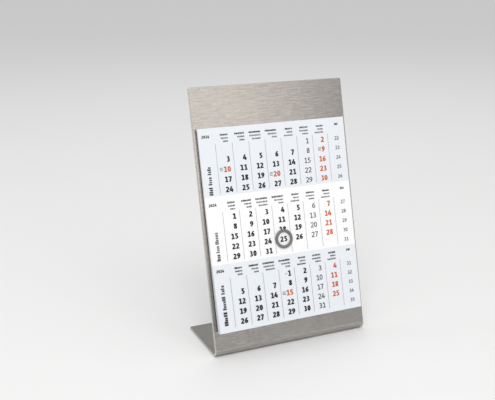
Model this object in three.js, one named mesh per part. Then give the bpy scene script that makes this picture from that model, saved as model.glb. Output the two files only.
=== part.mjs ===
// Metal desk calendar: a bent steel sheet that stands by itself and carries a three-month pad,
// with a loose magnetic ring that marks the day.
// Millimetres, +Z up. The origin is the middle of the base's flat underside, +X runs to the
// reader's right and the panel faces -Y.

import * as THREE from 'three';
import { mergeVertices } from 'three/addons/utils/BufferGeometryUtils.js';

// Pad: leaves glued along their top edge to a card, and the tape that holds the card.
// The leaves curl, which lifts the pad's lower corners off the panel, the left one more.
const PAD_WIDTH = 105;
const PAD_HEIGHT = 130;
const PAD_THICKNESS = 0.9;
const PAD_LIFT_LEFT = 3.2;
const PAD_LIFT_RIGHT = 0.4;
const CARD_THICKNESS = 0.4;
const CARD_MARGIN = 0.5;
const TAPE_THICKNESS = 0.5;
const TAPE_HEIGHT = 18;
const TAPE_SIDE_MARGIN = 4;
const TAPE_TOP_MARGIN = 1;

// Stand: one folded sheet, sized round the pad by the bare bands beside, above and below it
const SIDE_BAND = 2.5;
const TOP_BAND = 26.6;
const LOW_BAND = 11.1;
const SHEET_THICKNESS = 1.5;
const BASE_FLAT = 44;
const PANEL_LEAN = 14.5;
const BEND_INNER_RADIUS = 3;
const CORNER_RADIUS = 1.6;
const EDGE_ROUNDING = 0.5;

// Date ring: the offset is from the pad's middle, the drop from its top edge
const RING_BORE_RADIUS = 4.4;
const RING_BAND = 1.85;
const RING_THICKNESS = 1.2;
const RING_EDGE_ROUNDING = 0.45;
const RING_OFFSET = -0.8;
const RING_DROP = 76.1;

// Gap between faces that lie on each other, and the share of a wall that a rounding may take
const SEAT_GAP = 0.25;
const ROUNDING_LIMIT = 0.45;

// Smoothness of the round stretches
const BEND_STEPS = 24;
const CORNER_STEPS = 6;
const EDGE_STEPS = 4;
const CURL_STEPS_DOWN = 20;
const CURL_STEPS_ACROSS = 6;
const RING_SEGMENTS = 56;
const RING_EDGE_STEPS = 2;

const lean = THREE.MathUtils.degToRad(PANEL_LEAN);
const bendAngle = Math.PI / 2 + lean;
const bendMidRadius = BEND_INNER_RADIUS + SHEET_THICKNESS / 2;
const bendOuterRadius = BEND_INNER_RADIUS + SHEET_THICKNESS;
const bendLength = bendMidRadius * bendAngle;
const bendCentreY = -BASE_FLAT / 2;
const sheetWidth = PAD_WIDTH + 2 * SIDE_BAND;
const panelFlat = TOP_BAND + PAD_HEIGHT + LOW_BAND;
const blankLength = BASE_FLAT + bendLength + panelFlat;
const edgeRounding = Math.min(EDGE_ROUNDING, ROUNDING_LIMIT * SHEET_THICKNESS);

const steel = new THREE.MeshStandardMaterial({ name: 'steel', color: 0xb3aea7, roughness: 0.38, metalness: 1 });
const paper = new THREE.MeshStandardMaterial({ name: 'paper', color: 0xf2f4f6, roughness: 0.85, metalness: 0 });
const board = new THREE.MeshStandardMaterial({ name: 'board', color: 0xb9b4a8, roughness: 0.9, metalness: 0 });
const foam = new THREE.MeshStandardMaterial({ name: 'foam', color: 0xe6e4dc, roughness: 0.95, metalness: 0 });
const magnet = new THREE.MeshStandardMaterial({ name: 'magnet', color: 0x6a6865, roughness: 0.45, metalness: 0.6 });

// Folds a point of the flat blank. x runs across, s runs from the base's back edge to the
// panel's top, and n is the height over the sheet's middle, positive on the outer side.
function fold(x, s, n) {
  const outward = SHEET_THICKNESS / 2 + n;
  if (s <= BASE_FLAT) {
    return new THREE.Vector3(x, bendCentreY + BASE_FLAT - s, SHEET_THICKNESS - outward);
  }
  const turned = Math.min((s - BASE_FLAT) / bendMidRadius, bendAngle);
  const radius = bendMidRadius + n;
  const beyond = Math.max(s - BASE_FLAT - bendLength, 0);
  return new THREE.Vector3(
    x,
    bendCentreY - radius * Math.sin(turned) - beyond * Math.cos(turned),
    bendOuterRadius - radius * Math.cos(turned) + beyond * Math.sin(turned),
  );
}

// Left edge of the blank, set in by a distance, from the back edge's corner to the top corner.
function blankLeftEdge(inset) {
  const half = sheetWidth / 2 - CORNER_RADIUS;
  const radius = CORNER_RADIUS - inset;
  const points = [];
  const corner = (centreS, from, to) => {
    for (let i = 0; i <= CORNER_STEPS; i += 1) {
      const angle = THREE.MathUtils.lerp(from, to, i / CORNER_STEPS);
      points.push([-half + radius * Math.cos(angle), centreS + radius * Math.sin(angle)]);
    }
  };
  corner(CORNER_RADIUS, -Math.PI / 2, -Math.PI);
  for (let i = 0; i <= BEND_STEPS; i += 1) {
    points.push([-half - radius, BASE_FLAT + (bendLength * i) / BEND_STEPS]);
  }
  corner(blankLength - CORNER_RADIUS, Math.PI, Math.PI / 2);
  return points;
}

// Levels through the sheet's thickness, each with the inset that rounds the sheet's edges.
function sheetLevels() {
  const levels = [];
  const flat = SHEET_THICKNESS / 2 - edgeRounding;
  for (let i = 0; i <= EDGE_STEPS; i += 1) {
    const angle = (Math.PI / 2) * (1 - i / EDGE_STEPS);
    levels.push([-flat - edgeRounding * Math.sin(angle), edgeRounding * (1 - Math.cos(angle))]);
  }
  const upper = levels.map(([n, inset]) => [-n, inset]).reverse();
  return [...levels, ...upper];
}

// The sheet: outlines stacked through its thickness, closed by rungs across both faces, folded.
function bentSheetGeometry() {
  const outlines = sheetLevels().map(([n, inset]) => {
    const left = blankLeftEdge(inset).map(([x, s]) => fold(x, s, n));
    const right = blankLeftEdge(inset).map(([x, s]) => fold(-x, s, n));
    return [...left, ...right.reverse()];
  });
  const count = outlines[0].length;
  const indices = [];
  const quad = (a, b, c, d) => indices.push(a, b, c, a, c, d);
  for (let level = 0; level < outlines.length - 1; level += 1) {
    for (let i = 0; i < count; i += 1) {
      const next = (i + 1) % count;
      const low = level * count;
      quad(low + next, low + i, low + count + i, low + count + next);
    }
  }
  const last = (outlines.length - 1) * count;
  for (let i = 0; i < count / 2 - 1; i += 1) {
    const across = count - 1 - i;
    quad(i, i + 1, across - 1, across);
    quad(last + across, last + across - 1, last + i + 1, last + i);
  }
  const geometry = new THREE.BufferGeometry().setFromPoints(outlines.flat());
  geometry.setIndex(indices);
  return mergeVertices(geometry);
}

// The pad lies flat over the tape and curls away from the panel below it.
const curlStart = TAPE_TOP_MARGIN + TAPE_HEIGHT;
const curlLength = PAD_HEIGHT - curlStart;
const liftPerWidth = (PAD_LIFT_RIGHT - PAD_LIFT_LEFT) / PAD_WIDTH;

// How far the curl lifts the pad's lower edge, at a place across.
function lowEdgeLift(x) {
  return (PAD_LIFT_LEFT + PAD_LIFT_RIGHT) / 2 + liftPerWidth * x;
}

// Share of the curl's length at a distance below the pad's top edge: none above its start.
function alongCurl(down) {
  return Math.max(down - curlStart, 0) / curlLength;
}

// How far the curl lifts the pad, at a place across and a distance below its top edge.
function lift(x, down) {
  return lowEdgeLift(x) * alongCurl(down) ** 2;
}

// Heights over the panel's face at which each layer starts
const tapeBack = SEAT_GAP;
const cardBack = tapeBack + TAPE_THICKNESS + SEAT_GAP;
const padBack = cardBack + CARD_THICKNESS + SEAT_GAP;
const ringBack = padBack + PAD_THICKNESS + SEAT_GAP;

// A slab that follows the pad's curl: a box cut into a grid, lifted point by point. It is given
// by its width, its upper and lower ends, and the height of its back over the panel.
function curledSlabGeometry(width, from, to, back, thickness) {
  const box = new THREE.BoxGeometry(width, thickness, to - from, CURL_STEPS_ACROSS, 1, CURL_STEPS_DOWN);
  box.translate(0, -(back + thickness / 2), -(from + to) / 2);
  const points = box.getAttribute('position');
  for (let i = 0; i < points.count; i += 1) {
    points.setY(i, points.getY(i) - lift(points.getX(i), -points.getZ(i)));
  }
  return box;
}

// Ring section, a flat band with rounded edges, turned about its axis.
function ringGeometry() {
  const section = new THREE.Shape();
  const inner = RING_BORE_RADIUS;
  const outer = RING_BORE_RADIUS + RING_BAND;
  const top = RING_THICKNESS;
  const r = Math.min(RING_EDGE_ROUNDING, ROUNDING_LIMIT * Math.min(RING_BAND, RING_THICKNESS));
  section.moveTo(inner + r, 0);
  section.lineTo(outer - r, 0);
  section.absarc(outer - r, r, r, -Math.PI / 2, 0, false);
  section.lineTo(outer, top - r);
  section.absarc(outer - r, top - r, r, 0, Math.PI / 2, false);
  section.lineTo(inner + r, top);
  section.absarc(inner + r, top - r, r, Math.PI / 2, Math.PI, false);
  section.lineTo(inner, r);
  section.absarc(inner + r, r, r, Math.PI, 1.5 * Math.PI, false);
  const points = section.getPoints(RING_EDGE_STEPS);
  return new THREE.LatheGeometry([...points, points[0].clone()], RING_SEGMENTS);
}

function named(name, geometry, material) {
  const mesh = new THREE.Mesh(geometry, material);
  mesh.name = name;
  return mesh;
}

// The panel's frame: its origin is the top edge of the pad on the panel's front face,
// local -Y points out of the face and local -Z runs down the panel.
function panelFrame() {
  const frame = new THREE.Group();
  const padTop = fold(0, blankLength - TOP_BAND, SHEET_THICKNESS / 2);
  frame.position.copy(padTop);
  frame.rotation.x = -lean;
  return frame;
}

function mountingTape() {
  const width = PAD_WIDTH - 2 * TAPE_SIDE_MARGIN;
  const tape = named('mounting_tape', new THREE.BoxGeometry(width, TAPE_THICKNESS, TAPE_HEIGHT), foam);
  tape.position.set(0, -(tapeBack + TAPE_THICKNESS / 2), -(TAPE_TOP_MARGIN + TAPE_HEIGHT / 2));
  return tape;
}

function backingCard() {
  const width = PAD_WIDTH - 2 * CARD_MARGIN;
  const low = PAD_HEIGHT - CARD_MARGIN;
  return named('backing_card', curledSlabGeometry(width, CARD_MARGIN, low, cardBack, CARD_THICKNESS), board);
}

function calendarPad() {
  return named('calendar_pad', curledSlabGeometry(PAD_WIDTH, 0, PAD_HEIGHT, padBack, PAD_THICKNESS), paper);
}

function dateRing() {
  const ring = named('date_ring', ringGeometry(), magnet);
  const along = alongCurl(RING_DROP);
  const slopeDown = (2 * lowEdgeLift(RING_OFFSET) * along) / curlLength;
  const slopeAcross = liftPerWidth * along ** 2;
  ring.position.set(RING_OFFSET, -(ringBack + lift(RING_OFFSET, RING_DROP)), -RING_DROP);
  ring.rotation.set(Math.PI - Math.atan(slopeDown), 0, Math.atan(slopeAcross));
  return ring;
}

const calendar = new THREE.Group();
calendar.name = 'desk_calendar';
calendar.add(named('stand', bentSheetGeometry(), steel));
const onPanel = panelFrame();
onPanel.add(mountingTape(), backingCard(), calendarPad(), dateRing());
calendar.add(onPanel);

export default calendar;
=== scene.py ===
"""Desk calendar of folded brushed steel with a three-month pad and a magnetic date ring."""

from __future__ import annotations

import logging
import math
import random
from dataclasses import dataclass, field, replace
from enum import Enum
from functools import partial
from typing import Callable, Mapping, Optional, Sequence, Union

import bpy
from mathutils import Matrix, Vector

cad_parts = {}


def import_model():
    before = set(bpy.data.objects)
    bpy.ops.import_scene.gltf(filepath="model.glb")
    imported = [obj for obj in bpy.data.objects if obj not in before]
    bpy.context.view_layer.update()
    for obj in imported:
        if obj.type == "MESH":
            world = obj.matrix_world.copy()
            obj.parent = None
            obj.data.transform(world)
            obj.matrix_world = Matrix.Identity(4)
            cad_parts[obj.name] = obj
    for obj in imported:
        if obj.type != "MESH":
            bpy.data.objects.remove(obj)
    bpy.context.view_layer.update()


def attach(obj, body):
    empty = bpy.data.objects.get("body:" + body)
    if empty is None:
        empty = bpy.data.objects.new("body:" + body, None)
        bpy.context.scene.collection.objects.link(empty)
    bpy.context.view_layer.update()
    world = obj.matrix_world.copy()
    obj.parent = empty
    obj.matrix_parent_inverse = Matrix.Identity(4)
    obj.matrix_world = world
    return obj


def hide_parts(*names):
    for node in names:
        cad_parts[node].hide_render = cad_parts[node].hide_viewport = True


LOG = logging.getLogger("desk_calendar")
MM = 0.001
BODY = "root"
PAD_HEIGHT = 130.0
FIELD_HEIGHT = PAD_HEIGHT / 3
YEAR_LABEL = "2024"
FACE_PART = 0
EDGE_PART = 1
NOISE_MEAN = 0.5
SAME_PLACE = 1e-6
WEEK_DAYS = 7
SATURDAY = 5
SUNDAY = 6

Flat = tuple[float, float]
Colour = tuple[float, float, float]
WHITE: Colour = (1.0, 1.0, 1.0)
Value = Union[float, Sequence[float], "Signal"]


def srgb(red: int, green: int, blue: int) -> Colour:
    """Turn screen values into a linear colour.

    Args:
        red: red from 0 to 255.
        green: green from 0 to 255.
        blue: blue from 0 to 255.

    Returns:
        The linear colour.
    """

    def channel(value: int) -> float:
        """Linear value of one screen channel."""
        part = value / 255
        return part / 12.92 if part <= 0.04045 else ((part + 0.055) / 1.055) ** 2.4

    return channel(red), channel(green), channel(blue)


class Signal:
    """A shader socket that takes part in Python arithmetic."""

    def __init__(self, bench: Bench, node: bpy.types.Node, output: Union[str, int] = 0) -> None:
        """Wrap one output of a node.

        Args:
            bench: the bench that owns the node.
            node: the node.
            output: name or number of the output.
        """
        self.bench = bench
        self.node = node
        self.socket = node.outputs[output] if len(node.outputs) else None

    def out(self, name: Union[str, int]) -> Signal:
        """Another output of the same node."""
        return Signal(self.bench, self.node, name)

    def _join(self, operation: str, first: Value, second: Value) -> Signal:
        """Add one Math node and return its result."""
        return self.bench.node("ShaderNodeMath", {"operation": operation}, {0: first, 1: second})

    def __add__(self, other: Value) -> Signal:
        """Sum."""
        return self._join("ADD", self, other)

    def __radd__(self, other: Value) -> Signal:
        """Sum with the plain number first."""
        return self._join("ADD", other, self)

    def __sub__(self, other: Value) -> Signal:
        """Difference."""
        return self._join("SUBTRACT", self, other)

    def __rsub__(self, other: Value) -> Signal:
        """Difference with the plain number first."""
        return self._join("SUBTRACT", other, self)

    def __mul__(self, other: Value) -> Signal:
        """Product."""
        return self._join("MULTIPLY", self, other)

    def __rmul__(self, other: Value) -> Signal:
        """Product with the plain number first."""
        return self._join("MULTIPLY", other, self)

    def __gt__(self, other: Value) -> Signal:
        """One where this signal is the greater, else zero."""
        return self._join("GREATER_THAN", self, other)

    def __lt__(self, other: Value) -> Signal:
        """One where this signal is the smaller, else zero."""
        return self._join("LESS_THAN", self, other)

    def clamped(self) -> Signal:
        """Keep between zero and one."""
        return self.bench.node("ShaderNodeClamp", {}, {"Value": self})


class Bench:
    """Builds the node tree of one material or of the world."""

    def __init__(self, owner: Union[bpy.types.Material, bpy.types.World]) -> None:
        """Empty the owner's node tree and take it over.

        Args:
            owner: the material or world.
        """
        owner.use_nodes = True
        self.tree = owner.node_tree
        self.tree.nodes.clear()

    def node(
        self,
        kind: str,
        settings: Optional[Mapping[str, object]] = None,
        inputs: Optional[Mapping[Union[str, int], Value]] = None,
        output: Union[str, int] = 0,
    ) -> Signal:
        """Add a node.

        Args:
            kind: node type.
            settings: properties, which are set first.
            inputs: plain values or signals by socket name or number.
            output: the output that the returned signal stands for.

        Returns:
            The chosen output as a signal.
        """
        made = self.tree.nodes.new(kind)
        for name, value in (settings or {}).items():
            setattr(made, name, value)
        for name, value in (inputs or {}).items():
            if isinstance(value, Signal):
                self.tree.links.new(value.socket, made.inputs[name])
            else:
                made.inputs[name].default_value = value
        return Signal(self, made, output)

    def blend(self, factor: Value, first: Value, second: Value) -> Signal:
        """Mix two colours.

        Args:
            factor: share of the second colour.
            first: colour at zero.
            second: colour at one.

        Returns:
            The mixed colour.
        """
        colours = {0: factor, 6: self._solid(first), 7: self._solid(second)}
        return self.node("ShaderNodeMix", {"data_type": "RGBA"}, colours, 2)

    @staticmethod
    def _solid(colour: Value) -> Value:
        """Give a plain colour its alpha."""
        return colour if isinstance(colour, Signal) else (*colour, 1.0)

    def scaled(self, vector: Signal, factors: Sequence[float]) -> Signal:
        """Multiply a vector by factors for each axis."""
        return self.node("ShaderNodeVectorMath", {"operation": "MULTIPLY"}, {0: vector, 1: factors})

    def flat_place(self, map_name: str) -> Signal:
        """Millimetres on the flat blank or leaf, from the piece's own map."""
        return self.scaled(self.node("ShaderNodeUVMap", {"uv_map": map_name}), (1 / MM, 1 / MM, 0.0))

    def noise(self, vector: Signal, detail: float, roughness: float) -> Signal:
        """Noise of unit scale over a vector."""
        inputs = {"Vector": vector, "Scale": 1.0, "Detail": detail, "Roughness": roughness}
        return self.node("ShaderNodeTexNoise", {}, inputs, "Fac")

    def grain(self, flat: Signal, size_mm: Flat, detail: float, roughness: float) -> Signal:
        """Noise over a flat place, drawn out to a size in millimetres.

        Args:
            flat: flat place in millimetres.
            size_mm: size of the grain along and across.
            detail: octaves of the noise.
            roughness: share of the finer octaves.

        Returns:
            The noise, from zero to one.
        """
        along, across = size_mm
        return self.noise(self.scaled(flat, (1 / along, 1 / across, 0.0)), detail, roughness)

    def speckle(self, place: Signal, per_mm: float, detail: float, roughness: float) -> Signal:
        """Even noise in space, by the number of grains in a millimetre."""
        return self.noise(self.scaled(place, (per_mm, per_mm, per_mm)), detail, roughness)

    def surface(self, inputs: Mapping[str, Value]) -> None:
        """Close the tree with a Principled shader that has the given inputs."""
        shader = self.node("ShaderNodeBsdfPrincipled", {}, inputs)
        self.node("ShaderNodeOutputMaterial", {}, {"Surface": shader})

    def bump(self, height: Signal, depth_mm: float) -> Signal:
        """Normal of a height signal whose full range is a depth in millimetres."""
        return self.node(
            "ShaderNodeBump", {}, {"Height": height, "Strength": 1.0, "Distance": depth_mm * MM}
        )


@dataclass(frozen=True)
class Finish:
    """Base of every finish: a name and a way to lay the nodes."""

    name: str

    def material(self) -> bpy.types.Material:
        """Find the material, or make it on first use.

        Returns:
            The material.
        """
        found = bpy.data.materials.get(self.name)
        if found is None:
            found = bpy.data.materials.new(self.name)
            self.lay(Bench(found))
        return found

    def lay(self, bench: Bench) -> None:
        """Lay the nodes on a bench."""
        raise NotImplementedError

    def place(self, bench: Bench) -> Signal:
        """Coordinates on the piece in millimetres."""
        held = bench.node("ShaderNodeTexCoord", {}, {}, "Object")
        return bench.scaled(held, (1 / MM, 1 / MM, 1 / MM))


@dataclass(frozen=True)
class BrushedSteel(Finish):
    """Stainless sheet brushed across its width."""

    shade: Colour = (0.31, 0.297, 0.281)
    light: Colour = (0.53, 0.508, 0.481)
    streak_mm: Flat = (8.0, 0.95)
    hair_mm: Flat = (4.0, 0.1)
    drift_mm: Flat = (50.0, 30.0)
    streak_tone: float = 1.25
    hair_tone: float = 0.4
    drift_tone: float = 0.3
    tone_drop: float = 0.475
    roughness: float = 0.105
    hair_roughness: float = 0.08
    drift_roughness: float = 0.04
    streak_relief: float = 0.1
    hair_relief: float = 0.9
    depth_mm: float = 0.03

    def lay(self, bench: Bench) -> None:
        """Streaks, hairlines and slow drift that follow the flat blank.

        Args:
            bench: bench of the material.
        """
        blank = bench.flat_place("blank")
        streak = bench.grain(blank, self.streak_mm, detail=3.0, roughness=0.62)
        hair = bench.grain(blank, self.hair_mm, detail=2.0, roughness=0.5)
        drift = bench.grain(blank, self.drift_mm, detail=1.0, roughness=0.5)
        tone = streak * self.streak_tone + hair * self.hair_tone + drift * self.drift_tone
        tone = (tone - self.tone_drop).clamped()
        relief = streak * self.streak_relief + hair * self.hair_relief
        uneven = (hair - NOISE_MEAN) * self.hair_roughness
        bench.surface(
            {
                "Base Color": bench.blend(tone, self.shade, self.light),
                "Metallic": 1.0,
                "Roughness": self.roughness + uneven + (drift - NOISE_MEAN) * self.drift_roughness,
                "Normal": bench.bump(relief, self.depth_mm),
            }
        )


@dataclass(frozen=True)
class DeburredEdge(Finish):
    """Rounded arris of the sheet, deburred; its colour, lighter than the face's, is partly painted
    highlight along the arris.
    """

    # Lighter than the face's tones: the deburred finish plus a painted highlight of the arris.
    colour: Colour = (0.66, 0.642, 0.615)
    scratched: float = 0.8
    scratch_per_mm: float = 1.2
    nick_per_mm: float = 6.0
    roughness: float = 0.2
    scratch_roughness: float = 0.16
    nick_mm: float = 0.004

    def lay(self, bench: Bench) -> None:
        """Short scratches along the edge over a bright metal.

        Args:
            bench: bench of the material.
        """
        place = self.place(bench)
        scratch = bench.speckle(place, self.scratch_per_mm, detail=3.0, roughness=0.6)
        nick = bench.speckle(place, self.nick_per_mm, detail=2.0, roughness=0.5)
        low = tuple(part * self.scratched for part in self.colour)
        bench.surface(
            {
                "Base Color": bench.blend(scratch, low, self.colour),
                "Metallic": 1.0,
                "Roughness": self.roughness + scratch * self.scratch_roughness,
                "Normal": bench.bump(nick, self.nick_mm),
            }
        )


@dataclass(frozen=True)
class PrintedPaper(Finish):
    """Smooth uncoated paper with a tinted field for the months beside the middle one."""

    field_height: float = FIELD_HEIGHT
    plain: Colour = (0.925, 0.93, 0.935)
    tinted: Colour = (0.785, 0.82, 0.86)
    worn: float = 0.955
    fibre_mm: Flat = (0.35, 0.5)
    cloud_mm: Flat = (6.0, 6.0)
    mean: float = 0.45
    fibre_tone: float = 0.3
    cloud_tone: float = 0.12
    roughness: float = 0.62
    fibre_roughness: float = 0.2
    specular: float = 0.35
    depth_mm: float = 0.006

    def lay(self, bench: Bench) -> None:
        """Fibre mottle and the two tinted fields, by the distance below the top edge.

        Args:
            bench: bench of the material.
        """
        sheet = bench.flat_place("sheet")
        down = bench.node("ShaderNodeSeparateXYZ", {}, {0: sheet}, "Y")
        middle = (down > self.field_height) * (down < 2 * self.field_height)
        field_colour = bench.blend(middle, self.tinted, self.plain)
        fibre = bench.grain(sheet, self.fibre_mm, detail=3.0, roughness=0.6)
        cloud = bench.grain(sheet, self.cloud_mm, detail=1.0, roughness=0.5)
        worn = tuple(part * self.worn for part in self.tinted)
        mottle = (fibre - self.mean) * self.fibre_tone + (cloud - self.mean) * self.cloud_tone
        bench.surface(
            {
                "Base Color": bench.blend(mottle.clamped(), field_colour, worn),
                "Roughness": self.roughness + (fibre - NOISE_MEAN) * self.fibre_roughness,
                "Specular IOR Level": self.specular,
                "Normal": bench.bump(fibre, self.depth_mm),
            }
        )


@dataclass(frozen=True)
class PrintInk(Finish):
    """Offset ink with the slight mottle of paper fibres under it."""

    colour: Colour = (0.02, 0.02, 0.022)
    paper: Colour = (0.8, 0.8, 0.8)
    fibre_per_mm: float = 4.0
    fibre_tone: float = 0.1
    cover: float = 0.025
    roughness: float = 0.55
    fibre_roughness: float = 0.15
    specular: float = 0.18

    def lay(self, bench: Bench) -> None:
        """Let a little of the paper through the ink.

        Args:
            bench: bench of the material.
        """
        fibre = bench.speckle(self.place(bench), self.fibre_per_mm, detail=2.0, roughness=0.6)
        through = (fibre * self.fibre_tone - self.cover).clamped()
        bench.surface(
            {
                "Base Color": bench.blend(through, self.colour, self.paper),
                "Roughness": self.roughness + (fibre - NOISE_MEAN) * self.fibre_roughness,
                "Specular IOR Level": self.specular,
            }
        )


@dataclass(frozen=True)
class Pulp(Finish):
    """Board, foam or page edges: two tones, a grain size and a depth; the page edges' dark tones are
    painted shade.
    """

    dark: Colour
    light: Colour
    grain_mm: float = 0.8
    depth_mm: float = 0.03
    fleck_tone: float = 1.4
    tone_drop: float = 0.2
    speck_finer: float = 4.0
    roughness: float = 0.86
    speck_roughness: float = 0.14
    fleck_relief: float = 0.6
    speck_relief: float = 0.4

    def lay(self, bench: Bench) -> None:
        """Flecks of two sizes.

        Args:
            bench: bench of the material.
        """
        place = self.place(bench)
        fleck = bench.speckle(place, 1 / self.grain_mm, detail=4.0, roughness=0.65)
        speck = bench.speckle(place, self.speck_finer / self.grain_mm, detail=2.0, roughness=0.6)
        tone = (fleck * self.fleck_tone - self.tone_drop).clamped()
        relief = fleck * self.fleck_relief + speck * self.speck_relief
        bench.surface(
            {
                "Base Color": bench.blend(tone, self.dark, self.light),
                "Roughness": self.roughness + (speck - NOISE_MEAN) * self.speck_roughness,
                "Normal": bench.bump(relief, self.depth_mm),
            }
        )


@dataclass(frozen=True)
class MagnetCoat(Finish):
    """Dark grey satin coating of the magnetic ring."""

    colour: Colour = (0.17, 0.165, 0.158)
    rubbed: float = 1.35
    peel_per_mm: float = 3.0
    dust_per_mm: float = 9.0
    dust_tone: float = 1.6
    tone_drop: float = 0.5
    metallic: float = 0.35
    roughness: float = 0.4
    peel_roughness: float = 0.14
    peel_mm: float = 0.01

    def lay(self, bench: Bench) -> None:
        """Fine orange peel and a light dusting.

        Args:
            bench: bench of the material.
        """
        place = self.place(bench)
        peel = bench.speckle(place, self.peel_per_mm, detail=2.0, roughness=0.5)
        dust = bench.speckle(place, self.dust_per_mm, detail=2.0, roughness=0.6)
        tone = (dust * self.dust_tone - self.tone_drop).clamped()
        rubbed = tuple(part * self.rubbed for part in self.colour)
        bench.surface(
            {
                "Base Color": bench.blend(tone, self.colour, rubbed),
                "Metallic": self.metallic,
                "Roughness": self.roughness + (peel - NOISE_MEAN) * self.peel_roughness,
                "Normal": bench.bump(peel, self.peel_mm),
            }
        )


STEEL = BrushedSteel("brushed_steel_sheet")
# Edge finish whose lighter colour is partly a painted highlight along the arris.
STEEL_EDGE_AND_HIGHLIGHT = DeburredEdge("deburred_steel_edge")
PAPER = PrintedPaper("printed_paper")
BOARD = Pulp("grey_board", dark=(0.78, 0.775, 0.755), light=(0.88, 0.875, 0.855))
FOAM = Pulp("white_foam", dark=(0.7, 0.69, 0.65), light=(0.82, 0.81, 0.77), grain_mm=0.35)
# Page edges well below the paper's white: painted shade, standing in for the shade between the leaves
# and on the pad's side.
PAGE_EDGE_PAINTED_SHADE = Pulp(
    "page_edges_painted_shade",
    dark=(0.36, 0.37, 0.38),
    light=(0.52, 0.53, 0.54),
    grain_mm=0.5,
    depth_mm=0.01,
)
MAGNET = MagnetCoat("magnet_coating")


class Ink(Enum):
    """The inks of the printed sheet."""

    BLACK = PrintInk("ink_black", srgb(10, 10, 12))
    SOFT = PrintInk("ink_soft_black", srgb(46, 49, 54))
    GREY = PrintInk("ink_grey", srgb(70, 74, 80))
    RED = PrintInk("ink_orange_red", srgb(200, 90, 32))
    RULE = PrintInk("ink_rule_grey", srgb(140, 145, 150))


def build_mesh(
    name: str,
    points: Sequence[Sequence[float]],
    faces: Sequence[Sequence[int]],
    finishes: Sequence[Finish],
    parts: Sequence[int] = (),
    normals: Sequence[Sequence[float]] = (),
    flat_map: tuple[str, Sequence[Flat]] = ("", ()),
) -> bpy.types.Object:
    """Make a piece from points in millimetres and let it ride on the calendar.

    Args:
        name: piece name.
        points: corner points in millimetres.
        faces: corner numbers of each face.
        finishes: finishes in slot order.
        parts: finish number of each face.
        normals: smooth normal of each point; none leaves the faces flat.
        flat_map: name and per-point place of a flat coordinate map.

    Returns:
        The new object.
    """
    mesh = bpy.data.meshes.new(name)
    mesh.from_pydata([tuple(c * MM for c in point) for point in points], [], faces)
    for finish in finishes:
        mesh.materials.append(finish.material())
    if parts:
        mesh.polygons.foreach_set("material_index", parts)
    map_name, places = flat_map
    if map_name:
        layer = mesh.uv_layers.new(name=map_name)
        for loop in mesh.loops:
            layer.data[loop.index].uv = places[loop.vertex_index]
    if normals:
        mesh.polygons.foreach_set("use_smooth", [True] * len(faces))
        mesh.normals_split_custom_set_from_vertices(normals)
    mesh.update()
    made = bpy.data.objects.new(name, mesh)
    bpy.context.scene.collection.objects.link(made)
    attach(made, BODY)
    LOG.info("%s: %d faces", name, len(faces))
    return made


@dataclass
class PanelFace:
    """The panel's front face: places on it are given from the pad's top edge."""

    lean: float
    top: Vector

    def point(self, x: float, down: float, out: float) -> Vector:
        """Point of the model.

        Args:
            x: distance from the middle, to the reader's right.
            down: distance below the pad's top edge, along the panel.
            out: height over the panel's face.

        Returns:
            The point in millimetres.
        """
        sine, cosine = math.sin(self.lean), math.cos(self.lean)
        return self.top + Vector((x, -down * sine - out * cosine, -down * cosine + out * sine))


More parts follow.
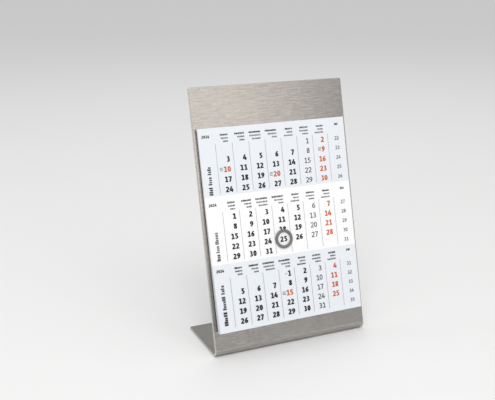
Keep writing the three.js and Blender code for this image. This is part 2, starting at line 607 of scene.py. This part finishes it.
@dataclass
class SteelStand:
    """One folded sheet: base, bend and leaning panel."""

    width: float = 110.0
    thickness: float = 1.5
    base_flat: float = 44.0
    panel_flat: float = 167.7
    lean_deg: float = 14.5
    bend_inner: float = 3.0
    corner: float = 1.6
    rounding: float = 0.5
    pad_drop: float = 26.6
    bend_steps: int = 40
    corner_steps: int = 10
    edge_steps: int = 6

    @property
    def lean(self) -> float:
        """Lean in radians."""
        return math.radians(self.lean_deg)

    @property
    def turn(self) -> float:
        """Angle of the bend."""
        return math.pi / 2 + self.lean

    @property
    def middle_radius(self) -> float:
        """Bend radius at the middle of the sheet."""
        return self.bend_inner + self.thickness / 2

    @property
    def bend_length(self) -> float:
        """Length of the bend on the flat blank."""
        return self.middle_radius * self.turn

    @property
    def blank_length(self) -> float:
        """Length of the flat blank."""
        return self.base_flat + self.bend_length + self.panel_flat

    def fold(self, x: float, s: float, n: float) -> Vector:
        """Fold a point of the flat blank.

        Args:
            x: place across the sheet.
            s: place along the blank, from the base's back edge.
            n: height over the sheet's middle, positive outside.

        Returns:
            The point of the folded sheet in millimetres.
        """
        centre = -self.base_flat / 2
        if s <= self.base_flat:
            return Vector((x, centre + self.base_flat - s, self.thickness / 2 - n))
        turned = min((s - self.base_flat) / self.middle_radius, self.turn)
        beyond = max(s - self.base_flat - self.bend_length, 0.0)
        radius = self.middle_radius + n
        height = self.bend_inner + self.thickness
        return Vector(
            (
                x,
                centre - radius * math.sin(turned) - beyond * math.cos(turned),
                height - radius * math.cos(turned) + beyond * math.sin(turned),
            )
        )

    def face(self) -> PanelFace:
        """Front face of the panel, from the pad's top edge down."""
        return PanelFace(self.lean, self.fold(0, self.blank_length - self.pad_drop, self.thickness / 2))

    def _left_edge(self, inset: float) -> list[tuple[Flat, Flat]]:
        """Find the left edge of the blank.

        Args:
            inset: how far the edge is set in.

        Returns:
            The points of the edge, each with its outward direction.
        """
        half = self.width / 2 - self.corner
        radius = self.corner - inset
        found: list[tuple[Flat, Flat]] = []

        def turn_corner(centre: float, start: float, stop: float) -> None:
            """Add the points of one rounded corner.

            Args:
                centre: place of the corner's centre along the blank.
                start: first angle.
                stop: last angle.
            """
            for step in range(self.corner_steps + 1):
                angle = start + (stop - start) * step / self.corner_steps
                way = (math.cos(angle), math.sin(angle))
                found.append(((-half + radius * way[0], centre + radius * way[1]), way))

        turn_corner(self.corner, -math.pi / 2, -math.pi)
        for step in range(self.bend_steps + 1):
            along = self.base_flat + self.bend_length * step / self.bend_steps
            found.append(((-half - radius, along), (-1.0, 0.0)))
        turn_corner(self.blank_length - self.corner, math.pi, math.pi / 2)
        return found

    def _levels(self) -> list[tuple[float, float, float]]:
        """Find the outlines that make up the sheet's thickness.

        Returns:
            Height, inset and tilt of each outline, from the inner face to the outer one.
        """
        low = []
        for step in range(self.edge_steps + 1):
            tilt = math.pi / 2 * (1 - step / self.edge_steps)
            inset = self.rounding * (1 - math.cos(tilt))
            low.append((-self.thickness / 2 + self.rounding * (1 - math.sin(tilt)), inset, -tilt))
        return low + [(-n, inset, -tilt) for n, inset, tilt in reversed(low)]

    @staticmethod
    def _skin(levels: int, count: int) -> tuple[list[tuple[int, ...]], list[int]]:
        """Join the outlines by walls and close both faces.

        Args:
            levels: number of outlines.
            count: number of points in one outline.

        Returns:
            The faces, and the finish number of each.
        """
        walls: list[tuple[int, ...]] = []
        last = (levels - 1) * count
        for low in range(0, last, count):
            for i in range(count):
                after = (i + 1) % count
                walls.append((low + after, low + i, low + count + i, low + count + after))
        caps: list[tuple[int, ...]] = []
        for i in range(count // 2 - 1):
            across = count - 1 - i
            caps.append((i, i + 1, across - 1, across))
            caps.append((last + across, last + across - 1, last + i + 1, last + i))
        return walls + caps, [EDGE_PART] * len(walls) + [FACE_PART] * len(caps)

    def build(self) -> None:
        """Stack the outlines through the thickness, fold them and close both faces."""
        points: list[Vector] = []
        normals: list[Vector] = []
        places: list[Flat] = []
        levels = self._levels()
        for n, inset, tilt in levels:
            left = self._left_edge(inset)
            right = [((-x, s), (-wx, ws)) for (x, s), (wx, ws) in reversed(left)]
            for (x, s), (wx, ws) in left + right:
                points.append(self.fold(x, s, n))
                normals.append(self._turned(wx, ws, s, tilt))
                places.append((x * MM, s * MM))
        faces, parts = self._skin(len(levels), len(points) // len(levels))
        # The arris faces take the edge finish, which is partly painted highlight.
        finishes, blank = (STEEL, STEEL_EDGE_AND_HIGHLIGHT), ("blank", places)
        sheet = build_mesh("folded_sheet", points, faces, finishes, parts, normals, blank)
        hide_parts("stand")

    def _turned(self, wx: float, ws: float, s: float, tilt: float) -> Vector:
        """Turn a direction on the blank into one on the folded sheet.

        Args:
            wx: outward way across the blank.
            ws: outward way along the blank.
            s: place along the blank.
            tilt: tilt out of the blank's plane.

        Returns:
            The normal.
        """
        turned = min(max(s - self.base_flat, 0.0) / self.middle_radius, self.turn)
        along = Vector((0.0, -math.cos(turned), math.sin(turned)))
        outer = Vector((0.0, -math.sin(turned), -math.cos(turned)))
        level = Vector((wx, 0.0, 0.0)) + along * ws
        return level * math.cos(tilt) + outer * math.sin(tilt)


@dataclass
class SheetPile:
    """Collects thin closed sheets over the panel's face for one mesh."""

    face: PanelFace
    width: float
    height: float
    rows: int = 52
    columns: int = 8
    points: list[Vector] = field(default_factory=list)
    places: list[Flat] = field(default_factory=list)
    faces: list[tuple[int, ...]] = field(default_factory=list)
    parts: list[int] = field(default_factory=list)

    def add(
        self,
        back: Callable[[float, float], float],
        thickness: float,
        margin: float = 0.0,
        shift: Flat = (0.0, 0.0),
    ) -> None:
        """Add one closed sheet.

        Args:
            back: height of the sheet's back over the panel, by the place across and down.
            thickness: thickness of the sheet.
            margin: how much shorter than the pile the sheet is at each edge.
            shift: how far the sheet lies off the pile's place, across and down.
        """
        start = len(self.points)
        wide = self.columns + 1
        for side in (0.0, thickness):
            for row in range(self.rows + 1):
                down = margin + (self.height - 2 * margin) * row / self.rows
                for column in range(wide):
                    x = (self.width - 2 * margin) * (column / self.columns - 0.5)
                    rise = back(x, down) + side
                    self.points.append(self.face.point(x + shift[0], down + shift[1], rise))
                    self.places.append((x * MM, down * MM))
        layer = wide * (self.rows + 1)
        for row in range(self.rows):
            for column in range(self.columns):
                a = start + row * wide + column
                self.faces.append((a, a + wide, a + wide + 1, a + 1))
                self.faces.append(tuple(layer + c for c in (a + 1, a + wide + 1, a + wide, a)))
                self.parts += [FACE_PART, FACE_PART]
        rim = self._rim()
        for here, after in zip(rim, rim[1:] + rim[:1]):
            a, b = start + here, start + after
            self.faces.append((a, b, b + layer, a + layer))
            self.parts.append(EDGE_PART)

    def _rim(self) -> list[int]:
        """Numbers of a sheet's outer points, once round.

        Returns:
            The numbers, from the first corner on.
        """
        wide = self.columns + 1
        rim = list(range(wide))
        rim += [row * wide + self.columns for row in range(1, self.rows + 1)]
        rim += [self.rows * wide + column for column in range(self.columns - 1, -1, -1)]
        rim += [row * wide for row in range(self.rows - 1, 0, -1)]
        return rim


@dataclass
class PadStack:
    """Tape, card and month leaves on the panel, with the curl that lifts their lower end."""

    face: PanelFace
    width: float = 105.0
    height: float = PAD_HEIGHT
    thickness: float = 0.9
    lift_left: float = 3.2
    lift_right: float = 0.4
    card: float = 0.4
    card_margin: float = 0.1
    tape: float = 0.5
    tape_height: float = 18.0
    tape_top: float = 1.0
    gap: float = 0.25
    seat: float = 0.24
    glue: float = 0.03
    leaves: int = 12
    leaf_share: float = 0.93
    stray: Flat = (0.1, 0.08)
    stray_seed: int = 7
    fan: float = 0.22
    card_share: float = 0.3
    ink_rise: float = 0.02
    ink_layer: float = 0.01

    @property
    def curl_start(self) -> float:
        """Distance below the top edge at which the curl begins."""
        return self.tape_top + self.tape_height

    @property
    def card_back(self) -> float:
        """Height of the card's back over the panel."""
        return 2 * self.gap + self.tape

    @property
    def pad_back(self) -> float:
        """Height of the lowest leaf over the panel."""
        return self.card_back + self.card + self.gap

    def curl(self, x: float, down: float) -> float:
        """Lift of the pad's back: none over the tape, more at the left than at the right.

        Args:
            x: distance from the middle, to the reader's right.
            down: distance below the top edge.

        Returns:
            The lift.
        """
        mean = (self.lift_left + self.lift_right) / 2
        low_edge = mean + (self.lift_right - self.lift_left) * x / self.width
        along = max(down - self.curl_start, 0.0) / (self.height - self.curl_start)
        return low_edge * along * along

    def fanned(self, leaf: float, x: float, down: float) -> float:
        """Height of a leaf's back, with the leaves loosening downwards.

        Args:
            leaf: number of the leaf, counted from the lowest.
            x: distance from the middle, to the reader's right.
            down: distance below the top edge.

        Returns:
            The height over the panel.
        """
        part = leaf / self.leaves
        rise = self.pad_back + part * self.thickness + self.fan * part * (down / self.height) ** 2
        return rise + self.curl(x, down) * (self.card_share + (1 - self.card_share) * part)

    def print_point(self, x: float, down: float, layer: int) -> Vector:
        """Point just over the top leaf, in one of the layers of ink."""
        film = self.ink_rise + layer * self.ink_layer
        return self.face.point(x, down, self.fanned(self.leaves, x, down) + film)

    def build(self) -> None:
        """Dress the tape, and build the card and the leaves."""
        self._dress_tape()
        self._build_card()
        self._build_leaves()

    def _dress_tape(self) -> None:
        """Give the tape its foam finish."""
        tape = bpy.data.objects["mounting_tape"]
        tape.data.materials.clear()
        tape.data.materials.append(FOAM.material())

    def _build_card(self) -> None:
        """Build the backing card."""

        def back(x: float, down: float) -> float:
            """Height of the card's back."""
            return self.card_back - self.seat + self.card_share * self.curl(x, down)

        pile = SheetPile(self.face, self.width, self.height)
        pile.add(back, self.card + self.gap + self.seat - self.glue, self.card_margin)
        sheet = ("sheet", pile.places)
        card = build_mesh("card_back", pile.points, pile.faces, (BOARD,), flat_map=sheet)
        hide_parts("backing_card")

    def _build_leaves(self) -> None:
        """Build the leaves, each a little off its neighbours."""
        pile = SheetPile(self.face, self.width, self.height)
        order = random.Random(self.stray_seed)
        thick = self.thickness / self.leaves * self.leaf_share
        across, along = self.stray
        for leaf in range(self.leaves - 1):
            shift = (order.uniform(-across, across), order.uniform(-along, along))
            pile.add(partial(self.fanned, leaf), thick, shift=shift)
        pile.add(partial(self.fanned, self.leaves - 1), thick)
        # The leaves' rims take the page-edge finish, whose dark tone is painted shade.
        finishes, sheet = (PAPER, PAGE_EDGE_PAINTED_SHADE), ("sheet", pile.places)
        leaves = build_mesh(
            "month_leaves", pile.points, pile.faces, finishes, pile.parts, flat_map=sheet
        )
        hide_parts("calendar_pad")


def arc(
    cx: float,
    cy: float,
    rx: float,
    ry: float,
    start: float,
    stop: float,
    steps: int = 14,
) -> list[Flat]:
    """Find the points of an elliptical arc.

    Args:
        cx: centre across.
        cy: centre upwards.
        rx: radius across.
        ry: radius upwards.
        start: first angle in degrees.
        stop: last angle in degrees.
        steps: number of steps.

    Returns:
        The points in order.
    """
    found = []
    for step in range(steps + 1):
        angle = math.radians(start + (stop - start) * step / steps)
        found.append((cx + rx * math.cos(angle), cy + ry * math.sin(angle)))
    return found


@dataclass(frozen=True)
class Numerals:
    """Plain numerals: a height, and the weights of their upright and level strokes."""

    height: float
    stem: float
    beam: float
    width: float = 0.64
    advance: float = 0.725

    def strokes(self, digit: str) -> list[list[Flat]]:
        """Draw one digit in a box of unit height.

        Args:
            digit: the digit.

        Returns:
            The centre lines of its strokes.
        """
        u, v = self.stem / 2, self.beam / 2
        w = self.width
        half = w / 2
        if digit == "0":
            return [arc(half, 0.5, half - u, 0.5 - v, 0, 360, 28)]
        if digit == "1":
            stem = w * 0.6
            return [
                [(stem, 1.0), (stem, 0.0)],
                [(w * 0.12, 0.79), (stem, 0.95)],
                [(w * 0.12, v), (w, v)],
            ]
        if digit == "2":
            hook = arc(half - 0.01, 1 - half + 0.01, half - u, half - v, 165, -32)
            return [hook + [(u * 1.15, v * 1.6)], [(0.0, v), (w, v)]]
        if digit == "3":
            upper = arc(half - 0.03, 0.745, half - u - 0.02, 0.255 - v, 150, -82)
            lower = arc(half - 0.03, 0.275, half - u + 0.02, 0.275 - v, 82, -150)
            return [upper, lower, [(w * 0.3, 0.52), (half + 0.02, 0.52)]]
        if digit == "4":
            return [
                [(w * 0.66, 1.0), (w * 0.08, 0.28)],
                [(0.0, 0.27), (w * 1.04, 0.27)],
                [(w * 0.74, 0.62), (w * 0.74, 0.0)],
            ]
        if digit == "5":
            bowl = arc(half - 0.05, 0.32, half - u + 0.05, 0.32 - v, 116, -140)
            flag = [(w * 0.14, 1 - v), (w * 0.94, 1 - v)]
            return [bowl, flag, [(w * 0.14 + u, 1.0), (w * 0.12 + u, 0.53)]]
        if digit == "6":
            bowl = arc(half, 0.315, half - u, 0.315 - v, 0, 360, 24)
            return [bowl, arc(w * 0.94, 0.33, w * 0.94 - u, 0.67 - v, 180, 93)]
        if digit == "7":
            return [[(0.0, 1 - v), (w * 0.98, 1 - v)], [(w * 0.98 - u, 1 - v), (w * 0.36, 0.0)]]
        if digit == "8":
            upper = arc(half, 0.745, half - u - 0.01, 0.255 - v, 0, 360, 24)
            return [upper, arc(half, 0.275, half - u, 0.275 - v, 0, 360, 24)]
        turned = self.strokes("6")
        return [[(w - x, 1 - y) for x, y in stroke] for stroke in turned]

    def length(self, text: str) -> float:
        """Length of a number."""
        return self.height * (self.advance * (len(text) - 1) + self.width)


class PrintPlate:
    """Collects flat shapes of one ink and lays them on the top leaf."""

    def __init__(self, pad: PadStack, ink: Ink) -> None:
        """Start an empty plate.

        Args:
            pad: pad that is printed on.
            ink: ink of the plate.
        """
        self.pad = pad
        self.ink = ink
        self.flat: list[Flat] = []
        self.layers: list[int] = []
        self.faces: list[tuple[int, ...]] = []

    def bar(self, left: float, top: float, right: float, low: float, step: float = 2.5) -> None:
        """Add an upright rectangle, cut along its height so that it follows the curl.

        Args:
            left: left edge.
            top: upper edge, as a distance down.
            right: right edge.
            low: lower edge, as a distance down.
            step: greatest height of one cut.
        """
        cuts = max(1, math.ceil((low - top) / step))
        start = len(self.flat)
        for cut in range(cuts + 1):
            down = top + (low - top) * cut / cuts
            self.flat += [(left, down), (right, down)]
            self.layers += [0, 0]
        for cut in range(cuts):
            a = start + 2 * cut
            self.faces.append((a, a + 2, a + 3, a + 1))

    def ribbon(self, path: Sequence[Flat], stem: float, beam: float, layer: int) -> None:
        """Add a pen stroke along a path given across and down.

        Args:
            path: centre line of the stroke.
            stem: width of the stroke where it runs upright.
            beam: width of the stroke where it runs level.
            layer: layer of ink, so that crossing strokes never share a plane.
        """
        closed = math.dist(path[0], path[-1]) < SAME_PLACE
        start = len(self.flat)
        for i, (x, d) in enumerate(path):
            before = path[i - 1] if i else (path[-2] if closed else path[0])
            after = path[i + 1] if i + 1 < len(path) else (path[1] if closed else path[-1])
            way = Vector((after[0] - before[0], after[1] - before[1])).normalized()
            off = Vector((-way.y * stem, way.x * beam)) / 2
            self.flat += [(x + off.x, d + off.y), (x - off.x, d - off.y)]
            self.layers += [layer, layer]
        for i in range(len(path) - 1):
            a = start + 2 * i
            self.faces.append((a, a + 1, a + 3, a + 2))

    def number(self, text: str, numerals: Numerals, right: float, middle: float) -> None:
        """Add a number.

        Args:
            text: the number.
            numerals: form of its digits.
            right: right end of the number.
            middle: height of its middle, as a distance down.
        """
        left = right - numerals.length(text)
        size = numerals.height
        for place, digit in enumerate(text):
            start = left + place * numerals.advance * size
            for layer, stroke in enumerate(numerals.strokes(digit)):
                path = [(start + x * size, middle + size / 2 - y * size) for x, y in stroke]
                self.ribbon(path, numerals.stem * size, numerals.beam * size, layer)

    def build(self, name: str) -> None:
        """Lay the shapes on the top leaf as a piece."""
        points = [self.pad.print_point(x, d, layer) for (x, d), layer in zip(self.flat, self.layers)]
        build_mesh(name, points, self.faces, (self.ink.value,))


@dataclass(frozen=True)
class GreekedLine:
    """A line of letter-sized ticks that stands where small words are printed."""

    pitch: float
    body: float
    ascender: float
    gap: float
    tall_share: float = 0.3
    narrowest: float = 0.7

    def lay(
        self, plate: PrintPlate, right: float, foot: float, letters: int, order: random.Random
    ) -> None:
        """Lay the ticks from the right.

        Args:
            plate: plate that takes the ticks.
            right: right end of the line.
            foot: height of the line's foot, as a distance down.
            letters: number of ticks.
            order: source of the uneven ticks.
        """
        for letter in range(letters):
            edge = right - letter * self.pitch
            tall = order.random() < self.tall_share or letter == letters - 1
            head = foot - (self.ascender if tall else self.body)
            wide = (self.pitch - self.gap) * order.uniform(self.narrowest, 1.0)
            plate.bar(edge - wide, head, edge, foot)

    def lay_upright(
        self, plate: PrintPlate, foot: float, start: float, letters: int, order: random.Random
    ) -> None:
        """Lay the ticks upwards, with their feet towards the right.

        Args:
            plate: plate that takes the ticks.
            foot: place across of the line's foot.
            start: distance down of the line's first tick.
            letters: number of ticks.
            order: source of the uneven ticks.
        """
        for letter in range(letters):
            low = start - letter * self.pitch
            tall = letter == 0 or order.random() < self.tall_share
            head = foot - (self.ascender if tall else self.body)
            wide = (self.pitch - self.gap) * order.uniform(self.narrowest, 1.0)
            plate.bar(head, low - wide, foot, low)


DAY_BOLD = Numerals(height=3.6, stem=0.288, beam=0.22, width=0.655, advance=0.735)
DAY_RED = Numerals(height=3.6, stem=0.262, beam=0.2, width=0.655, advance=0.735)
DAY_LIGHT = Numerals(height=3.5, stem=0.168, beam=0.145)
WEEK_SMALL = Numerals(height=2.4, stem=0.19, beam=0.16)
YEAR_BOLD = Numerals(height=1.85, stem=0.268, beam=0.21)
HEAD_LINE = GreekedLine(pitch=0.72, body=0.9, ascender=1.05, gap=0.1)
HEAD_BOLD = GreekedLine(pitch=0.76, body=1.05, ascender=1.2, gap=0.05)
WEEK_HEAD = GreekedLine(pitch=0.95, body=1.5, ascender=1.5, gap=0.12)
NAME_LINE = GreekedLine(pitch=1.0, body=1.75, ascender=2.4, gap=0.25)
NAME_BOLD = GreekedLine(pitch=1.0, body=1.85, ascender=2.5, gap=0.15)
NOTE_LINE = GreekedLine(pitch=0.42, body=0.46, ascender=0.52, gap=0.08)


@dataclass
class MonthBlock:
    """Print of one month: day numbers, week numbers, rules and greeked words."""

    name: str
    top: float
    first_column: int
    days: int
    first_week: int
    name_letters: tuple[int, int, int]
    holidays: frozenset[int] = frozenset()
    noted: frozenset[int] = frozenset()
    dashed: frozenset[int] = frozenset()
    first_row: float = 13.9
    row_pitch: float = 6.43
    raised: float = 0.0
    name_pitch: float = 1.35
    name_foot: float = 42.3
    name_column: float = -46.3
    name_space: float = 0.8
    year_place: Flat = (-45.1, 5.2)
    columns: tuple[float, ...] = (-34.6, -23.15, -11.7, -0.2, 11.35, 22.85, 34.35)
    rules: tuple[float, ...] = (-41.5, -29.9, -18.4, -6.9, 4.6, 16.2, 27.9, 39.4)
    week_right: float = 47.8
    week_rows: int = 5
    week_letters: int = 3
    number_reach: float = 2.05
    note_gap: float = 0.6
    note_feet: tuple[float, float, float] = (-0.75, 0.1, 0.95)
    note_letters: int = 5
    dash_length: float = 1.3
    dash_band: Flat = (-0.1, 0.25)
    rule_half: float = 0.12
    rule_ends: Flat = (10.2, 41.9)
    head_feet: tuple[float, float, float] = (5.3, 7.4, 9.5)
    head_letters: tuple[tuple[int, int, int], ...] = (
        (7, 7, 5),
        (9, 7, 5),
        (11, 11, 9),
        (11, 9, 5),
        (7, 6, 9),
        (8, 9, 6),
        (7, 6, 9),
    )

    @property
    def head(self) -> float:
        """Distance down from which the heads, the rules and the name are counted."""
        return self.top - self.raised

    def build(self, pad: PadStack) -> None:
        """Lay the print of the month.

        Args:
            pad: pad that takes the print.
        """
        plates = {ink: PrintPlate(pad, ink) for ink in Ink}
        order = random.Random(self.name)
        self._day_numbers(plates, order)
        self._week_numbers(plates[Ink.GREY])
        self._heads(plates, order)
        self._month_name(plates, order)
        top, low = (self.head + end for end in self.rule_ends)
        for x in self.rules:
            plates[Ink.RULE].bar(x - self.rule_half, top, x + self.rule_half, low)
        right, middle = self.year_place
        plates[Ink.BLACK].number(YEAR_LABEL, YEAR_BOLD, right, self.head + middle)
        for ink, plate in plates.items():
            if plate.faces:
                plate.build(f"{self.name}_{ink.name.lower()}_print")

    def _middle(self, row: int) -> float:
        """Distance down to the middle of a row of numbers."""
        return self.top + self.first_row + row * self.row_pitch

    def _day_numbers(self, plates: Mapping[Ink, PrintPlate], order: random.Random) -> None:
        """Lay the day numbers: bold on weekdays, light on Saturdays, red on Sundays and holidays.

        Args:
            plates: plate of each ink.
            order: source of the uneven ticks beside the numbers.
        """
        for day in range(1, self.days + 1):
            row, column = divmod(self.first_column + day - 1, WEEK_DAYS)
            right = self.columns[column] + self.number_reach
            middle = self._middle(row)
            if column == SUNDAY or day in self.holidays:
                plates[Ink.RED].number(str(day), DAY_RED, right, middle)
            elif column == SATURDAY:
                plates[Ink.SOFT].number(str(day), DAY_LIGHT, right, middle)
            else:
                plates[Ink.BLACK].number(str(day), DAY_BOLD, right, middle)
            edge = right - DAY_BOLD.length(str(day)) - self.note_gap
            if day in self.noted:
                for foot in self.note_feet:
                    NOTE_LINE.lay(plates[Ink.GREY], edge, middle + foot, self.note_letters, order)
            if day in self.dashed:
                upper, lower = self.dash_band
                plates[Ink.GREY].bar(edge - self.dash_length, middle + upper, edge, middle + lower)

    def _week_numbers(self, plate: PrintPlate) -> None:
        """Lay the week numbers in their own column."""
        for row in range(self.week_rows):
            plate.number(str(self.first_week + row), WEEK_SMALL, self.week_right, self._middle(row))

    def _heads(self, plates: Mapping[Ink, PrintPlate], order: random.Random) -> None:
        """Lay the three small lines over each column and the word over the week numbers.

        Args:
            plates: plate of each ink.
            order: source of the uneven ticks.
        """
        for x, letters in zip(self.columns, self.head_letters):
            right = x + self.number_reach
            for line, (foot, count) in enumerate(zip(self.head_feet, letters)):
                style, ink = (HEAD_BOLD, Ink.SOFT) if line == 0 else (HEAD_LINE, Ink.GREY)
                style.lay(plates[ink], right, self.head + foot, count, order)
        foot = self.head + self.head_feet[0]
        WEEK_HEAD.lay(plates[Ink.BLACK], self.week_right, foot, self.week_letters, order)

    def _month_name(self, plates: Mapping[Ink, PrintPlate], order: random.Random) -> None:
        """Lay the three upright words at the left.

        Args:
            plates: plate of each ink.
            order: source of the uneven ticks.
        """
        low = self.head + self.name_foot
        for word, letters in enumerate(self.name_letters):
            style, ink = (NAME_BOLD, Ink.SOFT) if word == 0 else (NAME_LINE, Ink.GREY)
            spread = replace(style, pitch=self.name_pitch)
            spread.lay_upright(plates[ink], self.name_column, low, letters, order)
            low -= self.name_pitch * (letters + self.name_space)


@dataclass
class DateRing:
    """Magnetic ring with rounded edges that lies on the top leaf."""

    pad: PadStack
    bore: float = 4.4
    band: float = 1.85
    thickness: float = 1.2
    rounding: float = 0.45
    x: float = -0.8
    down: float = 76.1
    segments: int = 96
    edge_steps: int = 6

    def _section(self) -> list[tuple[float, float, float]]:
        """Find the ring's rounded section.

        Returns:
            Reach from the axis, rise over the underside and outward angle of each point.
        """
        near, far = self.bore + self.rounding, self.bore + self.band - self.rounding
        low, high = self.rounding, self.thickness - self.rounding
        found = []
        for cx, cy, start in ((far, low, -90), (far, high, 0), (near, high, 90), (near, low, 180)):
            for step in range(self.edge_steps + 1):
                angle = math.radians(start + 90 * step / self.edge_steps)
                reach = cx + self.rounding * math.cos(angle)
                found.append((reach, cy + self.rounding * math.sin(angle), angle))
        return found

    def build(self) -> None:
        """Turn the section about the ring's axis."""
        section = self._section()
        centre, across, up, out = self._axes()
        points: list[Vector] = []
        normals: list[Vector] = []
        faces: list[tuple[int, ...]] = []
        count = len(section)
        for segment in range(self.segments):
            turn = 2 * math.pi * segment / self.segments
            ray = across * math.cos(turn) + up * math.sin(turn)
            for reach, rise, angle in section:
                points.append(centre + ray * reach + out * rise)
                normals.append(ray * math.cos(angle) + out * math.sin(angle))
            low, high = segment * count, (segment + 1) % self.segments * count
            for i in range(count):
                after = (i + 1) % count
                faces.append((low + i, high + i, high + after, low + after))
        ring = build_mesh("ring_magnet", points, faces, (MAGNET,), normals=normals)
        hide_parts("date_ring")

    def _axes(self) -> tuple[Vector, Vector, Vector, Vector]:
        """Find how the ring lies.

        Returns:
            The centre of its underside, and its axes across, up and out.
        """
        centre = self._seat(self.x, self.down)
        across = (self._seat(self.x + 1, self.down) - centre).normalized()
        out = across.cross(self._seat(self.x, self.down - 1) - centre).normalized()
        return centre, across, out.cross(across), out

    def _seat(self, x: float, down: float) -> Vector:
        """Point of the plane that the ring's underside lies on."""
        pad = self.pad
        return pad.face.point(x, down, pad.fanned(pad.leaves, x, down) + pad.gap / 2)


@dataclass(frozen=True)
class Softbox:
    """One soft lamp that faces the calendar, at degrees from the panel's front and over the floor."""

    name: str
    azimuth: float
    elevation: float
    reach: float
    size: Flat
    power: float
    colour: Colour = WHITE
    aim: tuple[float, float, float] = (0.0, 0.0, 0.08)

    def hang(self) -> None:
        """Make the lamp and turn it to the calendar."""
        data = bpy.data.lights.new(self.name, "AREA")
        data.shape = "RECTANGLE"
        data.size, data.size_y = self.size
        data.energy = self.power
        data.color = self.colour
        lamp = bpy.data.objects.new(self.name, data)
        a, e = math.radians(self.azimuth), math.radians(self.elevation)
        way = Vector((math.sin(a) * math.cos(e), -math.cos(a) * math.cos(e), math.sin(e)))
        lamp.location = Vector(self.aim) + way * self.reach
        lamp.rotation_euler = (-way).to_track_quat("-Z", "Y").to_euler()
        bpy.context.scene.collection.objects.link(lamp)


@dataclass
class Studio:
    """Floor, world, lamps and the camera at the photograph's viewing angle."""

    azimuth_deg: float = 24.01
    elevation_deg: float = 16.68
    focal_px: float = 815.3
    image_width_px: float = 495.0
    sensor_mm: float = 36.0
    eye: tuple[float, float, float] = (-227.8, -464.5, 247.05)
    clip: Flat = (0.01, 60.0)
    floor_colour: Colour = (0.85, 0.85, 0.85)
    floor_reach: float = 14.0
    floor_level: float = -0.00005
    seen_strength: float = 0.5
    lit_strength: float = 0.68
    lamps: tuple[Softbox, ...] = (
        Softbox("key_softbox", azimuth=-28.0, elevation=52.0, reach=1.3, size=(0.6, 0.6), power=5.8),
        Softbox(
            "tall_softbox",
            azimuth=18.6,
            elevation=29.2,
            reach=1.5,
            size=(0.6, 1.38),
            power=2.56,
            colour=(1.0, 0.945, 0.9),
        ),
        Softbox("rear_softbox", azimuth=150.0, elevation=50.0, reach=1.4, size=(0.7, 0.7), power=1.6),
        Softbox("side_softbox", azimuth=-104.0, elevation=10.0, reach=1.2, size=(0.5, 0.5), power=2.0),
    )

    def build(self) -> None:
        """Set up the camera, floor, world and lamps."""
        bpy.context.scene.view_settings.view_transform = "Standard"
        self._place_camera()
        self._lay_floor()
        self._light_world()
        for lamp in self.lamps:
            lamp.hang()

    def _place_camera(self) -> None:
        """Place the camera."""
        data = bpy.data.cameras.new("view")
        data.sensor_width = self.sensor_mm
        data.lens = self.focal_px / self.image_width_px * self.sensor_mm
        data.clip_start, data.clip_end = self.clip
        camera = bpy.data.objects.new("view", data)
        camera.location = Vector(self.eye) * MM
        turn = (math.radians(90 - self.elevation_deg), 0.0, -math.radians(self.azimuth_deg))
        camera.rotation_euler = turn
        bpy.context.scene.collection.objects.link(camera)
        bpy.context.scene.camera = camera

    def _lay_floor(self) -> None:
        """Lay the pale floor."""
        finish = bpy.data.materials.new("pale_floor")
        Bench(finish).surface(
            {"Base Color": (*self.floor_colour, 1.0), "Roughness": 0.9, "Specular IOR Level": 0.1}
        )
        mesh = bpy.data.meshes.new("floor")
        reach, level = self.floor_reach, self.floor_level
        turns = ((-1, -1), (1, -1), (1, 1), (-1, 1))
        mesh.from_pydata([(x * reach, y * reach, level) for x, y in turns], [], [(0, 1, 2, 3)])
        mesh.materials.append(finish)
        floor = bpy.data.objects.new("floor", mesh)
        bpy.context.scene.collection.objects.link(floor)

    def _light_world(self) -> None:
        """Light the world: pale where it is seen or mirrored, softer where it lights."""
        world = bpy.data.worlds.new("studio")
        bpy.context.scene.world = world
        bench = Bench(world)
        path = bench.node("ShaderNodeLightPath")
        seen = path.out("Is Camera Ray") + path.out("Is Glossy Ray") + path.out("Is Transmission Ray")
        white = (*WHITE, 1.0)
        shown = bench.node("ShaderNodeBackground", {}, {"Color": white, "Strength": self.seen_strength})
        lit = bench.node("ShaderNodeBackground", {}, {"Color": white, "Strength": self.lit_strength})
        mixed = bench.node("ShaderNodeMixShader", {}, {0: seen.clamped(), 1: lit, 2: shown})
        bench.node("ShaderNodeOutputWorld", {}, {"Surface": mixed})


MONTHS = (
    MonthBlock(
        "june",
        top=0.0,
        first_column=5,
        days=30,
        first_week=22,
        name_letters=(4, 4, 4),
        holidays=frozenset({10, 20}),
        noted=frozenset({9, 10, 20}),
    ),
    MonthBlock(
        "july",
        top=FIELD_HEIGHT,
        first_column=0,
        days=31,
        first_week=27,
        name_letters=(4, 4, 7),
        first_row=13.7,
        row_pitch=6.4,
        name_pitch=1.12,
        name_foot=40.9,
    ),
    MonthBlock(
        "august",
        top=2 * FIELD_HEIGHT,
        first_column=3,
        days=31,
        first_week=31,
        name_letters=(6, 6, 4),
        holidays=frozenset({15}),
        noted=frozenset({15}),
        dashed=frozenset({1}),
        first_row=12.45,
        row_pitch=6.28,
        raised=1.25,
        name_pitch=1.48,
        name_foot=40.1,
    ),
)


def main() -> None:
    """Load the frame and build the calendar piece by piece."""
    logging.basicConfig(level=logging.INFO, format="%(name)s: %(message)s")
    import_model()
    Studio().build()
    stand = SteelStand()
    stand.build()
    pad = PadStack(stand.face())
    pad.build()
    for month in MONTHS:
        month.build(pad)
    DateRing(pad).build()


if __name__ == "__main__":
    main()
